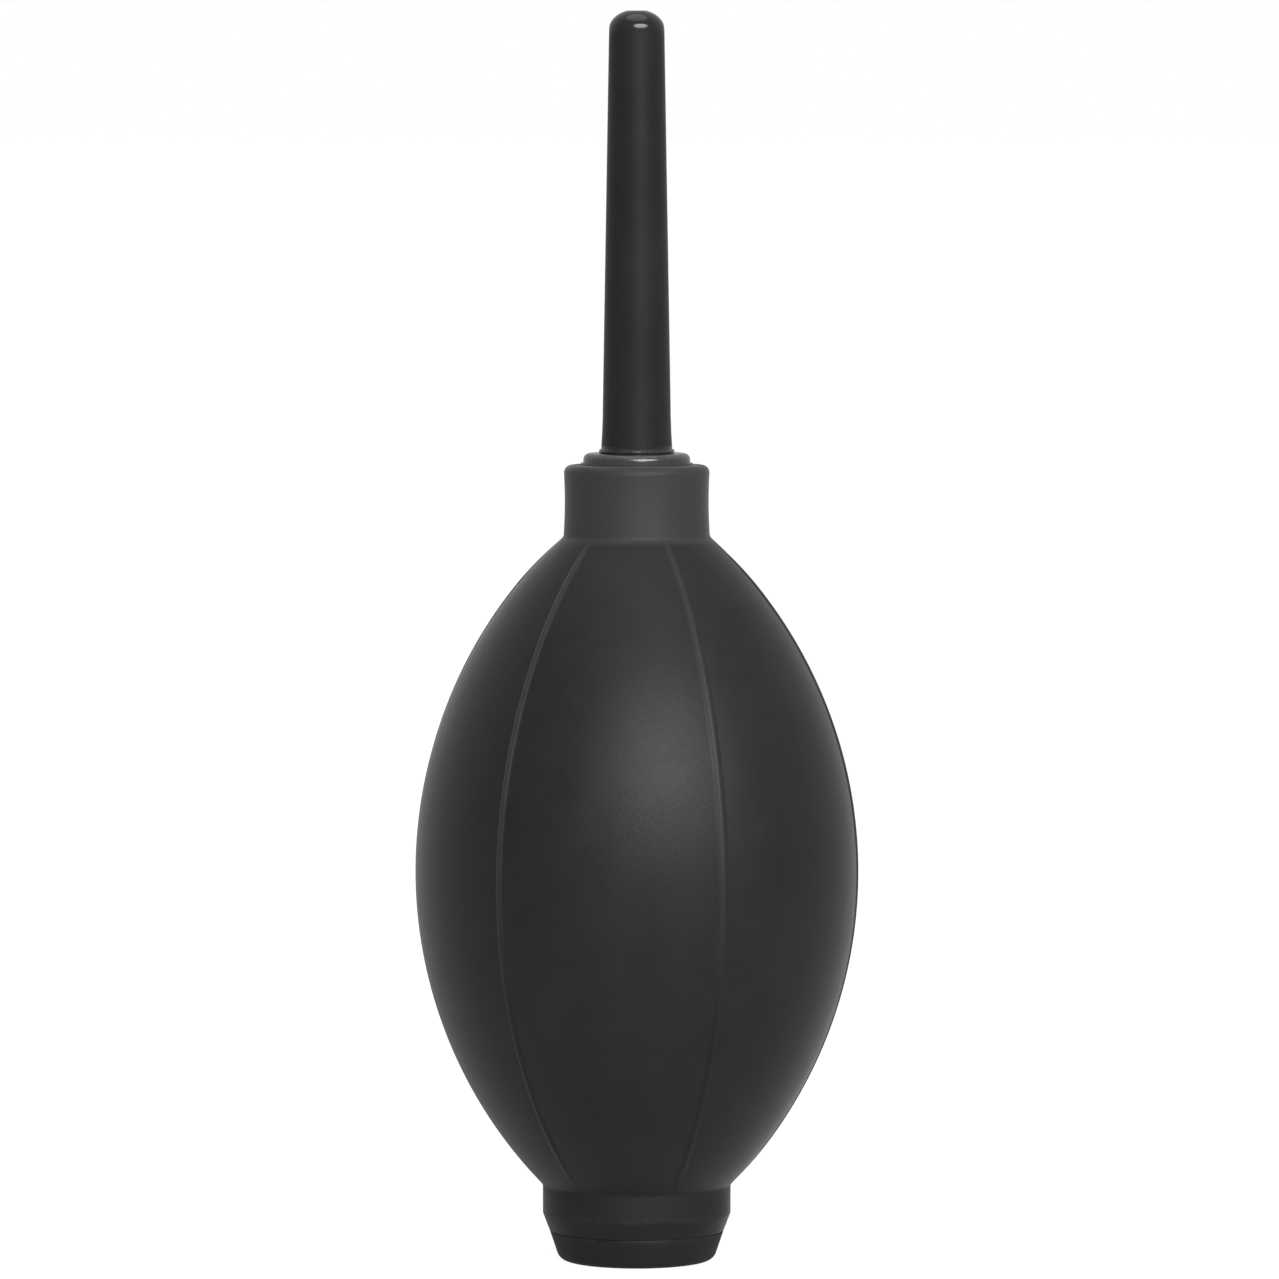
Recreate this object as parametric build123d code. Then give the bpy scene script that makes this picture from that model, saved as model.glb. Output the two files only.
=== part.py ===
from build123d import *
import os
from math import acos, cos, degrees, radians, sin, sqrt

# Dust blower bulb: a lemon-shaped rubber bulb that stands on its base, with an air inlet valve
# plugged into the base and a valved bush in the neck that carries a pull-off nozzle tube.
# Millimetres, +Z up along the nozzle, origin at the middle of the foot that it stands on.

# --- bulb ---
bulb_radius = 22.5  # at the widest place
bulb_arc_radius = 46.0  # one arc makes the whole side, from base crease to neck crease
bulb_wall = 2.2
collar_radius = 9.57  # base collar
collar_crease_z = 7.75  # where the bulb's arc meets the collar
collar_taper_z = 4.85  # below this the collar tapers in to the foot
collar_edge_radius = 0.9
neck_radius = 7.42  # neck sleeve at its top and at its crease
neck_waist = 0.12  # how far the sleeve draws in half way up
neck_height = 7.25
neck_edge_radius = 0.75
crease_radius = 0.4  # small fillet where the arc meets the collar and the sleeve
rib_count = 6
rib_radius = 0.34  # moulded bead along each panel's edge
rib_stands_out = 0.2
rib_first_angle = 22.5  # from the front, -Y, towards +X
rib_buried_angle = 1.2  # the bead's ends run on into the collar and the sleeve

# --- foot: the rim of the inlet valve body, below the rubber collar ---
foot_height = 3.1
foot_top_radius = 8.9
foot_bottom_radius = 7.84  # sharp corner, before its edge is rounded
foot_edge_radius = 1.1
foot_seam = 0.18  # chamfer that makes the seam line under the collar

# --- inlet valve ---
plug_radius = 6.2  # barrel that the rubber collar is stretched over
recess_radius = 5.0  # open mouth under the foot
recess_depth = 3.2
recess_edge = 0.3
screen_thickness = 0.3
screen_hole_radius = 0.34
screen_hole_pitch = 1.05
screen_rings = 3  # rings of holes round the middle one
ring_height = 0.9
ring_inner_radius = 4.1
ring_edge = 0.15
inlet_web = 1.4  # floor between the screen and the valve chamber
plenum_radius = 4.0  # funnel above the screen, so that air reaches all its holes
plenum_height = 0.6
inlet_bore_radius = 2.6
inlet_disc_radius = 3.6
inlet_disc_thickness = 0.7
inlet_lift = 1.2
inlet_chamber_radius = 4.4
cage_ledge = 0.4  # step that the cage sits on
cage_wall = 0.7
cage_height = 3.0
cage_bar_width = 1.0
cage_bar_height = 1.2
cage_bar_count = 2
cage_recess = 0.7  # the plug stands this much above the cage

# --- neck bush and outlet valve ---
bush_radius = 4.5  # barrel inside the neck
flange_radius = 5.42
flange_lip_radius = 5.68  # thin lip where the flange sits on the rubber
flange_lip_height = 0.22
flange_height = 1.2
flange_edge_radius = 0.65
socket_radius = 2.9  # takes the nozzle's stem
socket_depth = 8.0
outlet_web = 1.0  # floor between the socket and the valve chamber
outlet_hole_radius = 1.7
stop_height = 0.5  # ribs that stop the lifted disc
stop_width = 0.6
stop_count = 4
outlet_lift = 1.0
outlet_disc_radius = 2.6
outlet_disc_thickness = 0.6
outlet_chamber_radius = 3.2
seat_ledge = 0.3  # step that the seat is pushed up against
seat_height = 1.4
seat_bore_radius = 1.5

# --- nozzle ---
nozzle_length = 44.85  # tip above the flange
nozzle_tip_radius = 2.8
nozzle_dome_height = 1.95  # rounded end
nozzle_base_radius = 3.43  # end of the even taper, above the flare
nozzle_flare_radius = 3.61
nozzle_flare_height = 5.5
nozzle_rim_radius = 3.84
nozzle_rim_height = 0.42
nozzle_rim_top_edge = 0.2
nozzle_rim_seam = 0.1  # chamfer that makes the seam line on the flange
nozzle_bore_radius = 1.3
nozzle_mouth_radius = 1.0
nozzle_mouth_length = 12.0  # straight bore behind the tip
bore_taper_length = 14.0
stem_length = 7.4
stem_lead = 0.4  # chamfer at the stem's end
groove_height = 1.2
groove_depth = 0.91
groove_from_seat = 3.4  # middle of the seal's groove below the flange

# --- shared by both valves and both barbed barrels ---
lip_height = 0.4  # raised seat that a disc closes on
lip_width = 0.5
barb_height = 0.4
barb_ramp = 1.2
barb_pitch = 3.1

# --- fits, each a gap on the radius ---
rubber_fit = 0.05  # rubber round a barbed barrel
push_fit = 0.02  # pieces pushed into a bore and left there
running_fit = 0.04  # stem in its socket
seal_fit = 0.015  # seal ring in its groove and in the socket


def arc_height(radius):
    # height from the bulb's widest place to where its arc has this radius
    return sqrt(bulb_arc_radius**2 - (bulb_arc_radius - bulb_radius + radius) ** 2)


# --- heights worked out from the sizes above ---
equator_z = collar_crease_z + arc_height(collar_radius)
neck_crease_z = equator_z + arc_height(neck_radius)
neck_top_z = neck_crease_z + neck_height
flange_top_z = neck_top_z + flange_height
tip_z = flange_top_z + nozzle_length

inlet_floor_z = recess_depth + inlet_web
inlet_seat_z = inlet_floor_z + lip_height
inlet_stop_z = inlet_seat_z + inlet_disc_thickness + inlet_lift
cage_top_z = inlet_stop_z + cage_height
plug_top_z = cage_top_z + cage_recess
cavity_floor_z = plug_top_z - barb_ramp
plug_barbs = [cavity_floor_z - barb_pitch, cavity_floor_z]

socket_floor_z = flange_top_z - socket_depth
outlet_ceiling_z = socket_floor_z - outlet_web
outlet_stop_z = outlet_ceiling_z - stop_height
outlet_seat_z = outlet_stop_z - outlet_lift - outlet_disc_thickness
seat_top_z = outlet_seat_z - lip_height
bush_bottom_z = seat_top_z - seat_height
cavity_ceiling_z = bush_bottom_z + barb_ramp
bush_barbs = [cavity_ceiling_z + 2 * barb_pitch, cavity_ceiling_z + barb_pitch, cavity_ceiling_z]

stem_radius = socket_radius - running_fit
stem_end_z = flange_top_z - stem_length
groove_z = flange_top_z - groove_from_seat
groove_radius = stem_radius - groove_depth
cage_seat_radius = inlet_chamber_radius + cage_ledge
seat_pocket_radius = outlet_chamber_radius + seat_ledge


def turned(*edges):
    # solid of revolution about Z from a closed outline of (radius, height) edges
    return turned_face(make_face(edges))


def turned_face(face):
    return revolve(Plane.XZ * face, axis=Axis.Z)


def rounded(face, corner, radius):
    # the outline's corner nearest to a point, rounded off
    return fillet(face.vertices().sort_by_distance(Vector(*corner))[0], radius)


def bevelled(face, corner, length):
    return chamfer(face.vertices().sort_by_distance(Vector(*corner))[0], length)


def barbs(radius, steps, way, gap=0.0):
    # saw teeth on a barrel's outline: flat at each step, with a ramp on its way side
    points = []
    for z in steps:
        points += [(radius + gap, z), (radius + gap + barb_height, z)]
        points += [(radius + gap, z + way * barb_ramp)]
    return points


def make_bulb():
    # one rubber moulding: thin shell, thick base collar, neck sleeve and six beads
    centre = bulb_radius - bulb_arc_radius

    def inside(z):
        return (centre + sqrt((bulb_arc_radius - bulb_wall) ** 2 - (z - equator_z) ** 2), z)

    base_bore = plug_radius + rubber_fit
    neck_bore = bush_radius + rubber_fit
    collar = [
        (foot_top_radius, foot_height),
        (collar_radius, collar_taper_z),
        (collar_radius, collar_crease_z),
    ]
    crease = (neck_radius, neck_crease_z)
    waist = (neck_radius - neck_waist, neck_crease_z + neck_height / 2)
    neck_edge = (neck_radius, neck_top_z)
    neck_inside = [
        (neck_bore, neck_top_z),
        *barbs(bush_radius, bush_barbs[:-1], -1, rubber_fit),
        (neck_bore, cavity_ceiling_z),
        inside(cavity_ceiling_z),
    ]
    base_inside = [
        inside(cavity_floor_z),
        (base_bore, cavity_floor_z),
        *reversed(barbs(plug_radius, plug_barbs[:-1], 1, rubber_fit)),
        (base_bore, foot_height),
    ]
    outline = make_face(
        [
            Polyline(*collar),
            ThreePointArc(collar[-1], (bulb_radius, equator_z), crease),
            ThreePointArc(crease, waist, neck_edge),
            Polyline(neck_edge, *neck_inside),
            ThreePointArc(neck_inside[-1], (bulb_radius - bulb_wall, equator_z), base_inside[0]),
            Polyline(*base_inside, collar[0]),
        ]
    )
    outline = rounded(outline, neck_edge, neck_edge_radius)
    outline = rounded(outline, collar[1], collar_edge_radius)
    outline = rounded(outline, collar[2], crease_radius)
    outline = rounded(outline, crease, crease_radius)
    shape = turned_face(outline)

    # a bead is a piece of a ring with the same centre as the shell's arc
    path_radius = bulb_arc_radius + rib_stands_out - rib_radius
    axis = Axis((centre, 0, equator_z), (0, -1, 0))
    low = degrees(acos((collar_radius - centre) / bulb_arc_radius)) + rib_buried_angle
    high = degrees(acos((neck_radius - centre) / bulb_arc_radius)) + rib_buried_angle
    section = Plane((centre + path_radius, 0, equator_z)) * Circle(rib_radius)
    bead = revolve(section.rotate(axis, -low), axis, low + high)
    for k in range(rib_count):
        shape += Rot(0, 0, rib_first_angle - 90 + k * 360 / rib_count) * bead
    return shape


def make_inlet_body():
    # foot rim, barbed plug, valve seat and chamber in one moulding, open from end to end
    lip_radius = inlet_bore_radius + lip_width
    rim_top = (foot_top_radius, foot_height)
    rim_bottom = (foot_bottom_radius, 0)
    mouth = (recess_radius, 0)
    outline = make_face(
        Polyline(
            mouth,
            rim_bottom,
            rim_top,
            (plug_radius, foot_height),
            *barbs(plug_radius, plug_barbs, 1),
            (cage_seat_radius, plug_top_z),
            (cage_seat_radius, inlet_stop_z),
            (inlet_chamber_radius, inlet_stop_z),
            (inlet_chamber_radius, inlet_floor_z),
            (lip_radius, inlet_floor_z),
            (lip_radius, inlet_seat_z),
            (inlet_bore_radius, inlet_seat_z),
            (inlet_bore_radius, recess_depth + plenum_height),
            (plenum_radius, recess_depth),
            (recess_radius, recess_depth),
            close=True,
        )
    )
    outline = rounded(outline, rim_bottom, foot_edge_radius)
    outline = bevelled(outline, rim_top, foot_seam)
    outline = bevelled(outline, mouth, recess_edge)
    return turned_face(outline)


def make_inlet_screen():
    # thin round plate with rings of small holes
    top_down = (Align.CENTER, Align.CENTER, Align.MAX)
    screen = Cylinder(recess_radius - push_fit, screen_thickness, align=top_down)
    hole = Cylinder(screen_hole_radius, 3 * screen_thickness)
    places = [(0, 0)]
    for ring in range(1, screen_rings + 1):
        for k in range(6 * ring):
            turn = radians(k * 60 / ring)
            places.append((ring * screen_hole_pitch * cos(turn), ring * screen_hole_pitch * sin(turn)))
    screen -= [Pos(x, y, -screen_thickness / 2) * hole for x, y in places]
    return Pos(0, 0, recess_depth) * screen


def make_inlet_ring():
    # plain retaining ring that holds the screen up against its shoulder
    top = recess_depth - screen_thickness
    outer = recess_radius - push_fit
    outline = make_face(
        Polyline(
            (ring_inner_radius, top - ring_height),
            (outer, top - ring_height),
            (outer, top),
            (ring_inner_radius, top),
            close=True,
        )
    )
    return turned_face(bevelled(outline, (ring_inner_radius, top - ring_height), ring_edge))


def make_inlet_cage():
    # ring with crossed bars that stop the lifted disc
    outer = cage_seat_radius - push_fit
    inner = outer - cage_wall
    ring = Cylinder(outer, cage_height) - Cylinder(inner, cage_height)
    bar = Box(2 * inner + cage_wall, cage_bar_width, cage_bar_height)
    bar = Pos(0, 0, (cage_bar_height - cage_height) / 2) * bar
    for k in range(cage_bar_count):
        ring += Rot(0, 0, k * 180 / cage_bar_count) * bar
    return Pos(0, 0, inlet_stop_z + cage_height / 2) * ring


def make_disc(radius, thickness, seat_z):
    disc = Cylinder(radius, thickness, align=(Align.CENTER, Align.CENTER, Align.MIN))
    return Pos(0, 0, seat_z) * fillet(disc.edges(), thickness / 5)


def make_neck_bush():
    # flange on the neck's end, nozzle socket, web with a hole, and the outlet valve's chamber
    flange_edge = (flange_radius, flange_top_z)
    outline = make_face(
        Polyline(
            (socket_radius, flange_top_z),
            flange_edge,
            (flange_radius, neck_top_z + flange_lip_height),
            (flange_lip_radius, neck_top_z + flange_lip_height),
            (flange_lip_radius, neck_top_z),
            (bush_radius, neck_top_z),
            *barbs(bush_radius, bush_barbs, -1),
            (seat_pocket_radius, bush_bottom_z),
            (seat_pocket_radius, seat_top_z),
            (outlet_chamber_radius, seat_top_z),
            (outlet_chamber_radius, outlet_ceiling_z),
            (outlet_hole_radius, outlet_ceiling_z),
            (outlet_hole_radius, socket_floor_z),
            (socket_radius, socket_floor_z),
            close=True,
        )
    )
    outline = rounded(outline, flange_edge, flange_edge_radius)
    bush = turned_face(outline)
    # stop ribs reach from the hole's edge to the chamber's wall
    length = outlet_chamber_radius - outlet_hole_radius
    stop = Box(length, stop_width, stop_height)
    stop = Pos(outlet_hole_radius + length / 2, 0, outlet_ceiling_z - stop_height / 2) * stop
    for k in range(stop_count):
        bush += Rot(0, 0, k * 360 / stop_count) * stop
    return bush


def make_outlet_seat():
    outer = seat_pocket_radius - push_fit
    lip_radius = seat_bore_radius + lip_width
    return turned(
        Polyline(
            (seat_bore_radius, bush_bottom_z),
            (outer, bush_bottom_z),
            (outer, seat_top_z),
            (lip_radius, seat_top_z),
            (lip_radius, outlet_seat_z),
            (seat_bore_radius, outlet_seat_z),
            close=True,
        )
    )


def make_nozzle():
    # tapered tube with a domed end, a small rim on the flange, and a grooved stem in the socket
    dome_z = tip_z - nozzle_dome_height
    taper_z = flange_top_z + nozzle_flare_height
    rim_z = flange_top_z + nozzle_rim_height
    mouth_z = tip_z - nozzle_mouth_length
    # the dome is a quarter ellipse, cut off where the mouth opens
    mouth_angle = degrees(acos(nozzle_mouth_radius / nozzle_tip_radius))
    dome = EllipticalCenterArc((0, dome_z), nozzle_tip_radius, nozzle_dome_height, arc_size=mouth_angle)
    flare_middle = (
        nozzle_base_radius + (nozzle_flare_radius - nozzle_base_radius) / 4,
        (taper_z + rim_z) / 2,
    )
    flare = ThreePointArc((nozzle_flare_radius, rim_z), flare_middle, (nozzle_base_radius, taper_z))
    groove_top = groove_z + groove_height / 2
    groove_bottom = groove_z - groove_height / 2
    rim_top = (nozzle_rim_radius, rim_z)
    rim_bottom = (nozzle_rim_radius, flange_top_z)
    stem_end = (stem_radius, stem_end_z)
    outline = make_face(
        [
            dome,
            Line((nozzle_base_radius, taper_z), dome @ 0),
            flare,
            Polyline(
                (nozzle_flare_radius, rim_z),
                rim_top,
                rim_bottom,
                (stem_radius, flange_top_z),
                (stem_radius, groove_top),
                (groove_radius, groove_top),
                (groove_radius, groove_bottom),
                (stem_radius, groove_bottom),
                stem_end,
                (nozzle_bore_radius, stem_end_z),
                (nozzle_bore_radius, mouth_z - bore_taper_length),
                (nozzle_mouth_radius, mouth_z),
                dome @ 1,
            ),
        ]
    )
    outline = rounded(outline, rim_top, nozzle_rim_top_edge)
    outline = bevelled(outline, rim_bottom, nozzle_rim_seam)
    outline = bevelled(outline, stem_end, stem_lead)
    return turned_face(outline)


def make_seal_ring():
    outer = socket_radius - seal_fit
    inner = groove_radius + seal_fit
    section = (outer - inner) / 2
    return Pos(0, 0, groove_z) * Torus(inner + section, section)


pieces = {
    "bulb": make_bulb(),
    "neck_bush": make_neck_bush(),
    "outlet_valve_seat": make_outlet_seat(),
    "outlet_valve_disc": make_disc(outlet_disc_radius, outlet_disc_thickness, outlet_seat_z),
    "nozzle_tube": make_nozzle(),
    "nozzle_seal_ring": make_seal_ring(),
    "inlet_valve_body": make_inlet_body(),
    "inlet_valve_disc": make_disc(inlet_disc_radius, inlet_disc_thickness, inlet_seat_z),
    "inlet_valve_cage": make_inlet_cage(),
    "inlet_filter_screen": make_inlet_screen(),
    "inlet_screen_ring": make_inlet_ring(),
}

os.makedirs("parts", exist_ok=True)
for name, piece in pieces.items():
    export_step(piece, f"parts/{name}.step")
    print(f"{name}: {piece.volume:.1f} mm3, top at {piece.bounding_box().max.Z:.2f}")
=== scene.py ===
from math import asin, atan2, cos, pi, radians, sin, sqrt, tan

import bpy
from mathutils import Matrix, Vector


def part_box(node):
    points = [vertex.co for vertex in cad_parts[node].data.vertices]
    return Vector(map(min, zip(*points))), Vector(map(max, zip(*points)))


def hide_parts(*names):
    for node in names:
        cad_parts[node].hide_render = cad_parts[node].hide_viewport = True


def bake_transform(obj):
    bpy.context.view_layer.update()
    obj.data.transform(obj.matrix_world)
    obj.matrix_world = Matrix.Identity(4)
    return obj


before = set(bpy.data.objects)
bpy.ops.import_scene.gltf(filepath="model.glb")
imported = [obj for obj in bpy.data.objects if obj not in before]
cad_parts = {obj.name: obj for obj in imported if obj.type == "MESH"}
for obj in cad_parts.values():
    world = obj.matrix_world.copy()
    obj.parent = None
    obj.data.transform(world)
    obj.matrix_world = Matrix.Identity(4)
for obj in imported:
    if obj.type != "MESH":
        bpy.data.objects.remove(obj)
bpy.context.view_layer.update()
mm = 0.001
print("frame loaded:", len(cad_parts), "nodes")


def deselectAll():
    if bpy.context.object and bpy.context.object.mode != "OBJECT":
        bpy.ops.object.mode_set(mode="OBJECT")
    bpy.ops.object.select_all(action="DESELECT")


def turn(name, outline, steps, weld=0.004 * mm):
    # a closed outline of (radius, height) carried round Z, ring by ring, as one closed wall;
    # the last ring lands on the first, and points nearer than the weld distance become one
    deselectAll()
    radius, height = outline[0]
    bpy.ops.mesh.primitive_circle_add(vertices=steps, radius=radius, location=(0, 0, height))
    piece = bpy.context.object
    piece.name = name
    piece.data.name = name
    bpy.ops.object.transform_apply(location=True, rotation=True, scale=True)
    bpy.ops.object.mode_set(mode="EDIT")
    bpy.ops.mesh.select_mode(type="VERT")
    bpy.ops.mesh.select_all(action="SELECT")
    for nextRadius, nextHeight in [*outline[1:], outline[0]]:
        bpy.ops.mesh.extrude_edges_move(TRANSFORM_OT_translate={"value": (0, 0, nextHeight - height)})
        share = nextRadius / radius
        bpy.ops.transform.resize(value=(share, share, 1), center_override=(0, 0, nextHeight))
        radius, height = nextRadius, nextHeight
    bpy.ops.mesh.select_all(action="SELECT")
    bpy.ops.mesh.remove_doubles(threshold=weld)
    bpy.ops.mesh.normals_make_consistent(inside=False)
    bpy.ops.object.mode_set(mode="OBJECT")
    return piece


def roundCorners(corners, steps=5, hold=0.08 * mm):
    # (radius, height, rounding) corners to points: an arc at each rounding, with a ring held close
    # on both sides of it so that the flats beside it stay flat
    points = []
    for k, (radius, height, rounding) in enumerate(corners):
        corner = Vector((radius, height))
        if not rounding:
            points.append((radius, height))
            continue
        toLast = (Vector(corners[k - 1][:2]) - corner).normalized()
        toNext = (Vector(corners[(k + 1) % len(corners)][:2]) - corner).normalized()
        half = toLast.angle(toNext) / 2
        reach = rounding / tan(half)
        middle = corner + (toLast + toNext).normalized() * rounding / sin(half)
        first, last = [(corner + way * reach - middle).normalized() for way in (toLast, toNext)]
        arc = [middle + first.slerp(last, s / steps) * rounding for s in range(steps + 1)]
        points += [tuple(p) for p in [arc[0] + toLast * hold, *arc, arc[-1] + toNext * hold]]
    return points


def pickEdges(piece, wanted):
    # edit mode with only the edges chosen by the place of both their ends
    bpy.context.view_layer.objects.active = piece
    bpy.ops.object.mode_set(mode="EDIT")
    bpy.ops.mesh.select_mode(type="EDGE")
    bpy.ops.mesh.select_all(action="DESELECT")
    bpy.ops.object.mode_set(mode="OBJECT")
    points = piece.data.vertices
    for edge in piece.data.edges:
        edge.select = all(wanted(points[v].co) for v in edge.vertices)
    bpy.ops.object.mode_set(mode="EDIT")


class Wire:
    # a socket that plain arithmetic works on, so 1 - mask adds Math nodes
    def __init__(self, tree, socket=None):
        self.tree = tree
        self.socket = socket

    def add(self, kind, settings, values, output=0):
        made = self.tree.nodes.new(kind)
        for name, value in settings.items():
            setattr(made, name, value)
        for key, value in values.items():
            if isinstance(value, Wire):
                self.tree.links.new(value.socket, made.inputs[key])
            else:
                made.inputs[key].default_value = value
        return Wire(self.tree, made.outputs[output])

    def maths(self, operation, *others):
        return self.add("ShaderNodeMath", {"operation": operation}, dict(enumerate((self, *others))))

    def __add__(self, other):
        return self.maths("ADD", other)

    def __sub__(self, other):
        return self.maths("SUBTRACT", other)

    def __rsub__(self, other):
        return self * -1 + other

    def __mul__(self, other):
        return self.maths("MULTIPLY", other)

    def __truediv__(self, other):
        return self.maths("DIVIDE", other)

    __radd__ = __add__
    __rmul__ = __mul__

    def split(self):
        # the X, Y and Z of a place
        outputs = self.add("ShaderNodeSeparateXYZ", {}, {"Vector": self}).socket.node.outputs
        return [Wire(self.tree, outputs[name]) for name in "XYZ"]

    def stretch(self, scale):
        # a place scaled along each axis, so that what is drawn on it runs long or short
        return self.add("ShaderNodeMapping", {}, {"Vector": self, "Scale": scale})

    def between(self, low, high):
        # 0 at low and 1 at high, smooth in between; with high under low it falls as the value rises
        values = {"Value": self, "From Min": low, "From Max": high}
        return self.add("ShaderNodeMapRange", {"interpolation_type": "SMOOTHSTEP"}, values)

    def noise(self, scale, detail=2.0, roughness=0.5):
        values = {"Vector": self, "Scale": scale, "Detail": detail, "Roughness": roughness}
        return self.add("ShaderNodeTexNoise", {}, values)

    def specks(self, scale, rarity, size):
        # small round spots with soft sides, in only a few of the cells
        values = {"Vector": self, "Scale": scale}
        near = self.add("ShaderNodeTexVoronoi", {}, values, output="Distance")
        cell = self.add("ShaderNodeTexVoronoi", {}, values, output="Color")
        picked = cell.add("ShaderNodeSeparateColor", {}, {"Color": cell}).between(rarity, rarity + 0.01)
        return (1 - near.between(size * 0.4, size)) * picked

    def mixColours(self, first, second):
        return self.add("ShaderNodeMix", {"data_type": "RGBA"}, {0: self, 6: first, 7: second}, output=2)

    def bump(self, distance, strength):
        return self.add("ShaderNodeBump", {}, {"Strength": strength, "Distance": distance, "Height": self})


wear = {
    "core": 0.2,  # of a rubbed line's width, where it is full
    "breakScale": 420,
    "bareBelow": 0.4,  # of the noise that breaks the line up
    "fullAbove": 0.62,
}


def ringWear(place, rings, width):
    # a broken rubbed line along each edge, given as (radius, height) in millimetres
    core = wear["core"] * width
    across, along, up = place.split()
    radius = (across * across + along * along).maths("SQRT")
    rubbedAndLit = None
    for ringRadius, ringHeight in rings:
        out, over = radius - ringRadius * mm, up - ringHeight * mm
        near = 1 - (out * out + over * over).maths("SQRT").between(core * mm, width * mm)
        rubbedAndLit = near if rubbedAndLit is None else rubbedAndLit.maths("MAXIMUM", near)
    breaks = place.noise(wear["breakScale"], detail=4, roughness=0.65)
    return rubbedAndLit * breaks.between(wear["bareBelow"], wear["fullAbove"])


def grey(shade, warm=0.0):
    return (shade * (1 + warm), shade, shade * (1 - warm), 1)


def newMaterial(name):
    material = bpy.data.materials.new(name)
    material.use_nodes = True
    tree = material.node_tree
    shader = tree.nodes["Principled BSDF"]
    place = Wire(tree).add("ShaderNodeTexCoord", {}, {}, output="Object")
    return material, shader, place


def feed(shader, **inputs):
    # values and wires into the shader's sockets
    names = {
        "colour": "Base Color",
        "roughness": "Roughness",
        "metallic": "Metallic",
        "specular": "Specular IOR Level",
        "coat": "Coat Weight",
        "coatRoughness": "Coat Roughness",
        "sheen": "Sheen Weight",
        "sheenRoughness": "Sheen Roughness",
        "normal": "Normal",
        "glow": "Emission Color",
        "glowStrength": "Emission Strength",
    }
    for key, value in inputs.items():
        socket = shader.inputs[names[key]]
        if isinstance(value, Wire):
            value.tree.links.new(value.socket, socket)
        else:
            socket.default_value = value


# shell, neck sleeve, six beads and base collar are one moulding
bulb = {
    "arcRadius": 46.0,  # the side's one long arc; sizes are in mm
    "wall": 2.2,
    "collarRadius": 9.57,
    "collarCrease": 7.75,  # above the foot
    "collarTaper": 4.85,  # above the foot
    "collarEdge": 0.9,
    "footSeamRadius": 8.9,
    "footSeamEdge": 0.12,
    "neckRadius": 7.42,
    "neckWaist": 0.12,
    "neckEdge": 0.75,
    "creaseRounding": 0.6,
    "plugBore": 6.25,
    "bushBore": 4.55,
    "cavityFloor": 9.4,
    "cavityCeilingDrop": 10.5,  # below the neck's top
    "beadCount": 6,
    "beadFirst": 22.5,  # degrees from the front towards +X
    "beadHalfWidth": 0.5,
    "beadHeight": 0.19,
    "beadFade": 5.0,  # over this height a bead rises out of the shell at each end
    "beadLowShare": 0.55,  # of its full height, low on the shell
    "beadLowBelow": 0.25,  # of the neck crease's height
    "beadFullAbove": 0.65,  # of the neck crease's height
    "beadColumns": 4,  # on each side of a bead's crest
    "sides": 192,
    "ringsOutside": 76,
    "ringsInside": 36,
    "ringsWaist": 8,
    "ringsCut": 2,  # of the shell, at each end, to make room for the crease's rounding
    "boreHold": 0.3,  # from a bore's end to the ring that keeps its corner sharp
    "smoothBelow": 50,  # degrees
    "pressStart": 12.5,  # the stretch of the real shell that shortens when it is pressed lies between these two heights
    "pressEnd": 66,
}


def bulbOutline():
    low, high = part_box("bulb")
    radius = high.y
    arc = bulb["arcRadius"] * mm
    inner = arc - bulb["wall"] * mm
    collar, neck = bulb["collarRadius"] * mm, bulb["neckRadius"] * mm
    plugBore, bushBore = bulb["plugBore"] * mm, bulb["bushBore"] * mm
    crease, seam, neckTop = bulb["collarCrease"] * mm, low.z, high.z
    arcMiddle = radius - arc
    equator = crease + sqrt(arc**2 - (collar - arcMiddle) ** 2)
    neckCrease = equator + sqrt(arc**2 - (neck - arcMiddle) ** 2)

    def along(size, start, end, count):
        # points on an arc about (arcMiddle, equator), from one height to another
        first, last = asin((start - equator) / size), asin((end - equator) / size)
        turns = [first + (last - first) * k / count for k in range(count + 1)]
        return [(arcMiddle + size * cos(t), equator + size * sin(t)) for t in turns]

    shell = along(arc, crease, neckCrease, bulb["ringsOutside"])
    floor, ceiling = bulb["cavityFloor"] * mm, neckTop - bulb["cavityCeilingDrop"] * mm
    cavity = along(inner, ceiling, floor, bulb["ringsInside"])
    cut, rounding, hold = bulb["ringsCut"], bulb["creaseRounding"] * mm, bulb["boreHold"] * mm
    # a point of the shell only gives each crease its direction, and is dropped again
    base = roundCorners(
        [
            (plugBore, seam, 0),
            (bulb["footSeamRadius"] * mm, seam, bulb["footSeamEdge"] * mm),
            (collar, bulb["collarTaper"] * mm, bulb["collarEdge"] * mm),
            (collar, crease, rounding),
            (*shell[cut], 0),
        ]
    )[:-1]
    dent, count = bulb["neckWaist"] * mm, bulb["ringsWaist"]
    waist = [
        (neck - dent * sin(pi * k / count), neckCrease + (neckTop - neckCrease) * k / count)
        for k in range(1, count)
    ]
    neckRings = roundCorners(
        [
            (*shell[-cut - 1], 0),
            (neck, neckCrease, rounding),
            *[(*p, 0) for p in waist],
            (neck, neckTop, bulb["neckEdge"] * mm),
            (bushBore, neckTop, 0),
        ]
    )[1:]
    bore = [(bushBore, z) for z in (neckTop - hold, ceiling + hold, ceiling)]
    plug = [(plugBore, z) for z in (floor, floor - hold, seam + hold)]
    return [*base, *shell[cut:-cut], *neckRings, *bore, *cavity, *plug], crease, neckCrease, equator


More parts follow.
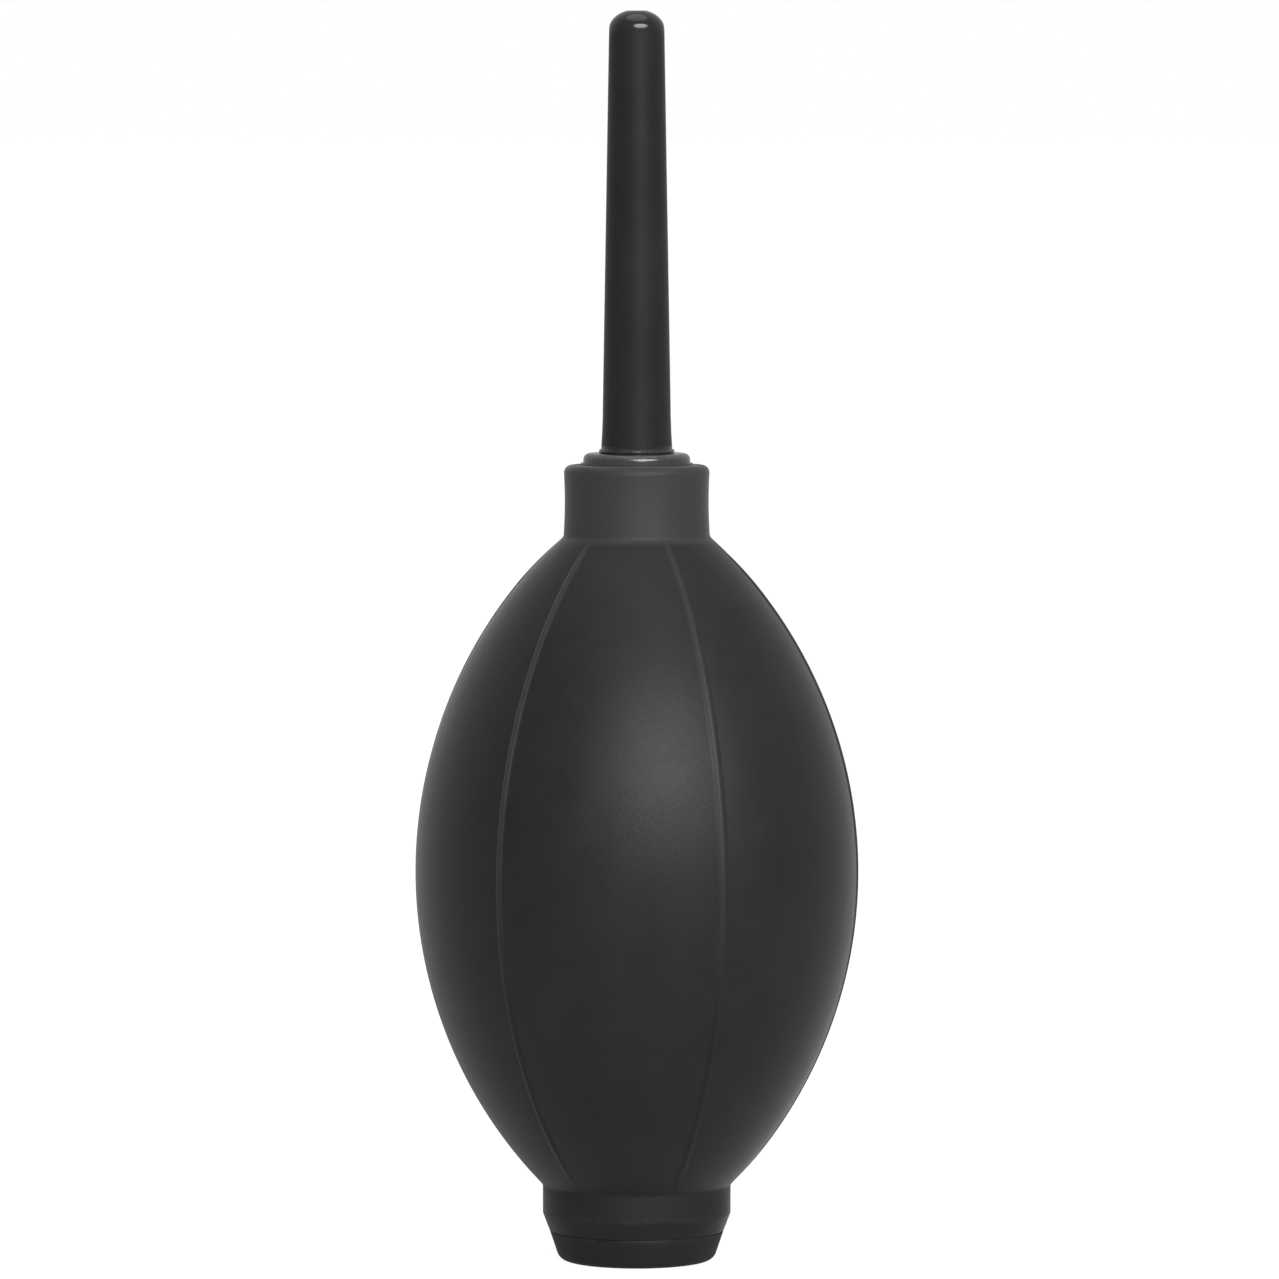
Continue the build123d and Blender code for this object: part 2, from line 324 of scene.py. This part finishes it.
def makeBulb():
    outline, crease, neckCrease, equator = bulbOutline()
    piece = turn("rubberBulb", outline, bulb["sides"])
    arc = bulb["arcRadius"] * mm
    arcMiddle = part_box("bulb")[1].y - arc
    halfWidth, columns, fade = bulb["beadHalfWidth"] * mm, bulb["beadColumns"], bulb["beadFade"] * mm
    lineSlack, arcSlack = 0.02 * mm, 0.3 * mm  # how far off a bead's line and off the arc still counts
    lowest, highest = crease - 0.6 * mm, neckCrease + 0.5 * mm  # just past both creases
    lowBelow, fullAbove, lowShare = bulb["beadLowBelow"], bulb["beadFullAbove"], bulb["beadLowShare"]
    step = 2 * pi / bulb["beadCount"]

    def fromBead(co):
        # distance round the bulb from the nearest bead's middle
        turned = atan2(co.x, -co.y) - radians(bulb["beadFirst"])
        turned = (turned + step / 2) % step - step / 2
        return abs(turned) * sqrt(co.x**2 + co.y**2)

    def onShell(co):
        radius = sqrt(co.x**2 + co.y**2)
        offArc = sqrt((radius - arcMiddle) ** 2 + (co.z - equator) ** 2) - arc
        return abs(offArc) < arcSlack and lowest < co.z < highest

    def beadWeight(co):
        # a soft crest that fades at both ends and is lower near the base
        away = fromBead(co) / halfWidth
        inside = min(co.z - crease, neckCrease - co.z) / fade
        if away >= 1 or inside <= 0 or not onShell(co):
            return 0
        raised = min(max((co.z / neckCrease - lowBelow) / (fullAbove - lowBelow), 0), 1)
        share = lowShare + (1 - lowShare) * raised
        return (1 + cos(pi * away)) / 2 * sin(pi / 2 * min(inside, 1)) * share

    # each bead's line is bevelled into a strip of columns, and the strip is swelled by its weight
    pickEdges(piece, lambda co: fromBead(co) < lineSlack and onShell(co))
    bpy.ops.mesh.bevel(offset=halfWidth, segments=2 * columns, affect="EDGES", clamp_overlap=False)
    bpy.ops.object.mode_set(mode="OBJECT")
    beads = piece.vertex_groups.new(name="beads")
    for point in piece.data.vertices:
        weight = beadWeight(point.co)
        if weight:
            beads.add([point.index], weight, "REPLACE")
    swell = piece.modifiers.new("beadSwell", "DISPLACE")
    swell.vertex_group = beads.name
    swell.mid_level = 0
    swell.strength = bulb["beadHeight"] * mm
    deselectAll()
    piece.select_set(True)
    bpy.context.view_layer.objects.active = piece
    bpy.ops.object.modifier_apply(modifier=swell.name)
    piece.vertex_groups.clear()
    bpy.ops.object.shade_smooth_by_angle(angle=radians(bulb["smoothBelow"]))
    print("bulb:", len(piece.data.vertices), "points")
    return piece, neckCrease


rubber = {
    "shade": 0.0135,  # reflectance of the clean rubber
    "shadeVariation": 0.0022,
    "warmth": 0.01,  # how far red is over green, and blue under it
    "mottleScale": 70,  # noise features per metre, as in all the scales
    "patchScale": 260,
    "grainScale": 2600,
    "poreScale": 7000,
    "grainDepth": 0.035,  # mm, of the fine matte texture
    "grainStrength": 0.9,
    "roughness": 0.48,
    "patchRoughness": 0.14,
    "grainRoughness": 0.1,
    "specular": 0.27,
    "sheen": 0.22,
    "sheenRoughness": 0.35,
    "sleeveShade": 0.035,  # the neck sleeve is greyer than the shell
    "sleeveRoughness": 0.06,  # more than the shell's
    "sleeveFrom": 0.75,  # mm below the neck crease
    "sleeveFull": 0.1,
    "collarShade": 0.0115,
    "collarShare": 0.8,
    "collarRoughness": 0.14,  # more than the shell's
    "collarFull": 0.5,  # mm below the base crease
    "collarEnd": 0.6,  # mm above it
    "beadRubbedLitShade": 0.033,  # beads are painted lighter high on the shell, partly rubbed wear and partly a painted highlight, and darker low down as painted shade
    "beadPaintedShade": 0.009,
    "beadShadedBelow": 0.3,  # of the neck crease's height
    "beadLitAbove": 0.66,
    "beadWearAndLightShare": 0.75,
    "beadPatches": 0.3,  # how much the beads' lighter tone, rubbed wear and painted highlight, comes and goes along a bead
    "beadCrest": 0.16,  # mm from a bead's middle
    "beadSide": 0.46,
    "edgeShade": 0.03,
    "edgeWear": 0.3,
    "edgeWidth": 0.55,  # mm
    "neckEdgeInset": 0.2,  # mm in from the corner to the middle of its rounding
    "collarEdgeInset": 0.1,
    "dustShade": 0.12,
    "dustWarmth": 0.03,
    "dustShare": 0.8,
    "dustScale": 150,
    "dustRarity": 0.94,
    "dustSize": 0.03,  # of a cell
}


def rubberMaterial(neckCrease):
    material, shader, place = newMaterial("mouldedRubber")
    across, along, up = place.split()
    # distance round the shell from the nearest bead
    panel = 2 * pi / bulb["beadCount"]
    turned = (across.maths("ARCTAN2", along * -1) - radians(bulb["beadFirst"])) / panel
    nearest = (turned - (turned + 0.5).maths("FLOOR")) * panel
    radius = (across * across + along * along).maths("SQRT")
    fromBead = nearest.maths("ABSOLUTE") * radius
    mottle = place.noise(rubber["mottleScale"], detail=3)
    patches = place.noise(rubber["patchScale"], detail=4, roughness=0.6)
    grain = place.noise(rubber["grainScale"], detail=3, roughness=0.6)
    pores = place.noise(rubber["poreScale"])
    # masks of the neck sleeve, the base collar and the beads
    sleeve = up.between(neckCrease - rubber["sleeveFrom"] * mm, neckCrease - rubber["sleeveFull"] * mm)
    crease = bulb["collarCrease"] * mm
    collar = 1 - up.between(crease - rubber["collarFull"] * mm, crease + rubber["collarEnd"] * mm)
    shell = (1 - sleeve) * (1 - collar)
    broken = 1 - rubber["beadPatches"] + patches.between(0.35, 0.65) * rubber["beadPatches"]
    bead = (1 - fromBead.between(rubber["beadCrest"] * mm, rubber["beadSide"] * mm)) * shell * broken
    # painted shade on the beads low on the shell, and a painted highlight with rubbed wear high up
    rubbedAndLit = up.between(rubber["beadShadedBelow"] * neckCrease, rubber["beadLitAbove"] * neckCrease)
    warmth = rubber["warmth"]
    beadLitAndShadedColour = rubbedAndLit.mixColours(grey(rubber["beadPaintedShade"]), grey(rubber["beadRubbedLitShade"], warmth))
    tone = mottle.between(0.3, 0.7) * 0.5 + patches.between(0.3, 0.7) * 0.5
    shade, sleeveShade, change = rubber["shade"], rubber["sleeveShade"], rubber["shadeVariation"]
    colour = tone.mixColours(grey(shade - change, warmth), grey(shade + change, warmth))
    sleeveColour = tone.mixColours(grey(sleeveShade - change), grey(sleeveShade + change))
    colour = sleeve.mixColours(colour, sleeveColour)
    colour = (collar * rubber["collarShare"]).mixColours(colour, grey(rubber["collarShade"]))
    colour = (bead * rubber["beadWearAndLightShare"]).mixColours(colour, beadLitAndShadedColour)
    neckInset, collarInset = rubber["neckEdgeInset"], rubber["collarEdgeInset"]
    neckEdge = bulb["neckRadius"] - neckInset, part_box("bulb")[1].z / mm - neckInset
    collarEdge = bulb["collarRadius"] - collarInset, bulb["collarTaper"] + collarInset
    worn = ringWear(place, [neckEdge, collarEdge], rubber["edgeWidth"])
    colour = (worn * rubber["edgeWear"]).mixColours(colour, grey(rubber["edgeShade"], warmth))
    dust = place.specks(rubber["dustScale"], rubber["dustRarity"], rubber["dustSize"])
    dustColour = grey(rubber["dustShade"], rubber["dustWarmth"])
    colour = (dust * rubber["dustShare"]).mixColours(colour, dustColour)
    unevenness = (patches - 0.5) * rubber["patchRoughness"] + (grain - 0.5) * rubber["grainRoughness"]
    rougher = sleeve * rubber["sleeveRoughness"] + collar * rubber["collarRoughness"]
    relief = grain * 0.5 + pores * 0.3 + patches * 0.2
    feed(
        shader,
        colour=colour,
        roughness=unevenness + rougher + rubber["roughness"],
        specular=rubber["specular"],
        sheen=rubber["sheen"],
        sheenRoughness=rubber["sheenRoughness"],
        normal=relief.bump(rubber["grainDepth"] * mm, rubber["grainStrength"]),
    )
    return material


rubberBulb, neckCrease = makeBulb()
rubberBulb.data.materials.append(rubberMaterial(neckCrease))
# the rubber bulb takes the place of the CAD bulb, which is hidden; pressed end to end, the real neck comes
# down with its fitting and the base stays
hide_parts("bulb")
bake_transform(rubberBulb)
print("rubber bulb made")


plastic = {
    "swirlScale": 120,
    "hazeScale": 900,
    "grainScale": 6000,
    "drawScale": 2400,
    "drawStretch": 0.06,  # along the height, so the draw lines run with it
    "shadeVariation": 0.12,
    "swirlRoughness": 0.08,
    "hazeRoughness": 0.12,
    "coatRoughness": 0.12,
    "polish": 0.6,  # coat added, and share of the roughness taken off, on a polished stretch
    "wornWidth": 0.45,  # mm
    "wornShare": 0.5,
    "wornGain": 2.2,  # a rubbed edge's shade is this many times the piece's own,
    "wornLift": 0.012,  # and this much more
    "wornRoughness": 0.12,
    "speckShade": 0.12,
    "speckWarmth": 0.02,
    "speckShare": 0.5,
    "speckScale": 260,
    "speckRarity": 0.93,
    "speckSize": 0.035,  # of a cell
    "reliefDepth": 0.014,  # mm
    "reliefStrength": 0.8,
}


def plasticMaterial(name, finish):
    # worn lists the edges, as (radius, height) in mm, where handling has rubbed the gloss off, and
    # polished the glossier stretches, as (height where one begins, height where it is full) in mm
    material, shader, place = newMaterial(name)
    swirl = place.noise(plastic["swirlScale"], detail=3, roughness=0.55)
    haze = place.noise(plastic["hazeScale"], detail=3, roughness=0.6)
    grain = place.noise(plastic["grainScale"])
    # faint draw lines, as an ejected moulding has
    stretched = place.stretch((1, 1, plastic["drawStretch"]))
    drawn = stretched.noise(plastic["drawScale"], detail=3, roughness=0.6)
    tone = swirl.between(0.35, 0.65) * 0.6 + haze * 0.4
    shade, change = finish["shade"], plastic["shadeVariation"]
    colour = tone.mixColours(grey(shade * (1 - change)), grey(shade * (1 + change)))
    unevenness = (haze - 0.5) * plastic["hazeRoughness"] + (swirl - 0.5) * plastic["swirlRoughness"]
    roughness = finish["roughness"] + unevenness
    coat = finish.get("coat", 0.0)
    up = place.split()[2]
    for begins, full in finish.get("polished", []):
        shiny = up.between(begins * mm, full * mm) * plastic["polish"]
        roughness = roughness * (1 - shiny)
        coat = shiny + coat
    if "worn" in finish:
        worn = ringWear(place, finish["worn"], plastic["wornWidth"])
        wornColour = grey(shade * plastic["wornGain"] + plastic["wornLift"])
        colour = (worn * plastic["wornShare"]).mixColours(colour, wornColour)
        roughness = roughness + worn * plastic["wornRoughness"]
    specks = place.specks(plastic["speckScale"], plastic["speckRarity"], plastic["speckSize"])
    speckColour = grey(plastic["speckShade"], plastic["speckWarmth"])
    colour = (specks * plastic["speckShare"]).mixColours(colour, speckColour)
    relief = grain * 0.3 + haze * 0.35 + drawn * 0.35
    feed(
        shader,
        colour=colour,
        roughness=roughness,
        specular=finish["specular"],
        coat=coat,
        coatRoughness=plastic["coatRoughness"],
        normal=relief.bump(plastic["reliefDepth"] * mm, plastic["reliefStrength"]),
    )
    return material


steel = {
    "darkShade": 0.42,
    "darkWarmth": 0.02,
    "lightShade": 0.6,
    "lightWarmth": 0.01,
    "tarnishScale": 500,
    "brushScale": 1400,
    "roughness": 0.28,
    "brushRoughness": 0.2,
    "brushDepth": 0.004,  # mm
    "brushStrength": 0.6,
}


def steelMaterial(name, finish):
    material, shader, place = newMaterial(name)
    brushed = place.stretch(finish["scratched"]).noise(steel["brushScale"], detail=4, roughness=0.6)
    tarnish = place.noise(steel["tarnishScale"], detail=3)
    dark = grey(steel["darkShade"], steel["darkWarmth"])
    light = grey(steel["lightShade"], steel["lightWarmth"])
    feed(
        shader,
        colour=tarnish.mixColours(dark, light),
        metallic=1.0,
        roughness=steel["roughness"] + brushed * steel["brushRoughness"],
        normal=brushed.bump(steel["brushDepth"] * mm, steel["brushStrength"]),
    )
    return material


# the hard pieces keep their CAD shapes, and only their looks are set here
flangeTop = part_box("neck_bush")[1].z / mm
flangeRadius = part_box("neck_bush")[1].x / mm
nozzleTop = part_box("nozzle_tube")[1].z / mm

nozzle = {
    "shade": 0.0165,
    "roughness": 0.36,
    "specular": 0.16,
    "coat": 0.1,
    # the first ring lightens the nozzle's base rim all round: partly rubbed wear, partly a painted
    # highlight where the light catches the rim
    "worn": [(3.72, flangeTop + 0.3), (1.2, nozzleTop - 0.1)],
    "polished": [(nozzleTop - 2.7, nozzleTop - 1.2), (flangeTop + 0.9, flangeTop + 0.6)],
}
bush = {
    "shade": 0.035,
    "roughness": 0.24,
    "specular": 0.5,
    "coat": 0.5,
    "worn": [(flangeRadius - 0.4, flangeTop - 0.2)],
}
foot = {
    "shade": 0.0135,
    "roughness": 0.56,
    "specular": 0.26,
    "worn": [(7.4, 0.3), (8.85, 2.95), (5.1, 0.1)],
}
acetal = {"shade": 0.62, "roughness": 0.4, "specular": 0.5}
sealRing = {"shade": 0.014, "roughness": 0.42, "specular": 0.4}
valveDisc = {"shade": 0.015, "roughness": 0.5, "specular": 0.35}
screen = {"scratched": (1, 14, 1)}  # rolled, so the scratches run from side to side
screenRing = {"scratched": (1, 1, 9)}  # turned, so they run round it

finishes = {
    "nozzle_tube": plasticMaterial("glossBlackPlastic", nozzle),
    "neck_bush": plasticMaterial("darkBushPlastic", bush),
    "inlet_valve_body": plasticMaterial("satinBasePlastic", foot),
    "outlet_valve_seat": plasticMaterial("whiteAcetal", acetal),
    "inlet_valve_cage": plasticMaterial("whiteAcetalCage", acetal),
    "nozzle_seal_ring": plasticMaterial("sealRubber", sealRing),
    "outlet_valve_disc": plasticMaterial("outletDiscRubber", valveDisc),
    "inlet_valve_disc": plasticMaterial("inletDiscRubber", valveDisc),
    "inlet_filter_screen": steelMaterial("rolledScreenSteel", screen),
    "inlet_screen_ring": steelMaterial("turnedRingSteel", screenRing),
}
for node, material in finishes.items():
    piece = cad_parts[node]
    piece.data.materials.clear()
    piece.data.materials.append(material)
print("finishes set on", len(finishes), "pieces")


ground = {
    "size": 60.0,  # metres
    "gap": 0.03,  # mm under the foot, so that the two faces don't coincide
    "shade": 0.22,
    "roughness": 0.9,
    "specular": 0.1,
    "glow": 0.29,  # what it sends to the object
    "seen": 0.93,  # and to the camera
}


def makeGround():
    deselectAll()
    bpy.ops.mesh.primitive_plane_add(size=ground["size"], location=(0, 0, -ground["gap"] * mm))
    floor = bpy.context.object
    floor.name = "studioFloor"
    material, shader, place = newMaterial("paleFloor")
    seen = place.add("ShaderNodeLightPath", {}, {}, output="Is Camera Ray")
    feed(
        shader,
        colour=grey(ground["shade"]),
        roughness=ground["roughness"],
        specular=ground["specular"],
        glow=seen.mixColours(grey(ground["glow"]), grey(ground["seen"])),
        glowStrength=1.0,
    )
    floor.data.materials.append(material)


sky = {
    "seen": 1.0,  # what the camera sees past the floor
    "front": 0.26,  # what the object gets from the camera's side
    "back": 0.46,  # and from behind
    "frontEnds": -0.35,  # from -1 straight in front to 1 straight behind, front passes into back
    "backBegins": 0.45,  # between these two
}


def makeSky():
    world = bpy.data.worlds.new("studioWorld")
    bpy.context.scene.world = world
    world.use_nodes = True
    tree = world.node_tree
    background = tree.nodes["Background"]
    way = Wire(tree).add("ShaderNodeTexCoord", {}, {}, output="Generated")
    behind = way.split()[1].between(sky["frontEnds"], sky["backBegins"])
    around = behind * (sky["back"] - sky["front"]) + sky["front"]
    seen = way.add("ShaderNodeLightPath", {}, {}, output="Is Camera Ray")
    strength = seen * sky["seen"] + (1 - seen) * around
    tree.links.new(strength.socket, background.inputs["Strength"])
    background.inputs["Color"].default_value = grey(1.0)


keyLight = {
    "power": 18.5,  # watts
    "width": 1.35,  # this and the next two are in metres
    "height": 0.6,
    "distance": 1.3,
    "azimuth": 17.5,  # degrees to the right of the front
    "elevation": 27.5,
}
topLight = {
    "power": 5.0,
    "width": 1.4,
    "height": 1.4,
    "distance": 1.5,
    "azimuth": 0,
    "elevation": 89,  # not quite overhead, where its turn would be open
}


def makeLight(name, settings, aim=50 * mm):
    # a soft oval light that faces the axis at the aim's height
    deselectAll()
    turned, raised = radians(settings["azimuth"]), radians(settings["elevation"])
    way = Vector((sin(turned) * cos(raised), -cos(turned) * cos(raised), sin(raised)))
    bpy.ops.object.light_add(type="AREA", location=Vector((0, 0, aim)) + way * settings["distance"])
    light = bpy.context.object
    light.name = name
    light.data.energy = settings["power"]
    light.data.shape = "ELLIPSE"
    light.data.size = settings["width"]
    light.data.size_y = settings["height"]
    light.rotation_euler = way.to_track_quat("Z", "Y").to_euler()


camera = {
    "distance": 850.0,  # mm in front of the axis
    "height": 117.3,  # mm above the foot
    "aim": 63.3,  # height that the lens points at
    "sideways": 0.28,
    "lens": 236.2,  # mm, as the sensor's width
    "sensor": 36,
    "nearest": 10,  # mm, the closest thing it shows
}


def makeCamera():
    deselectAll()
    aside = camera["sideways"] * mm
    spot = Vector((aside, -camera["distance"] * mm, camera["height"] * mm))
    aim = Vector((aside, 0, camera["aim"] * mm))
    bpy.ops.object.camera_add(location=spot, rotation=(aim - spot).to_track_quat("-Z", "Y").to_euler())
    made = bpy.context.object
    made.data.lens = camera["lens"]
    made.data.sensor_width = camera["sensor"]
    made.data.clip_start = camera["nearest"] * mm
    bpy.context.scene.camera = made


makeGround()
makeSky()
makeLight("keyLight", keyLight)
makeLight("topLight", topLight)
makeCamera()
bpy.context.scene.view_settings.view_transform = "Standard"
print("floor, light and camera set")
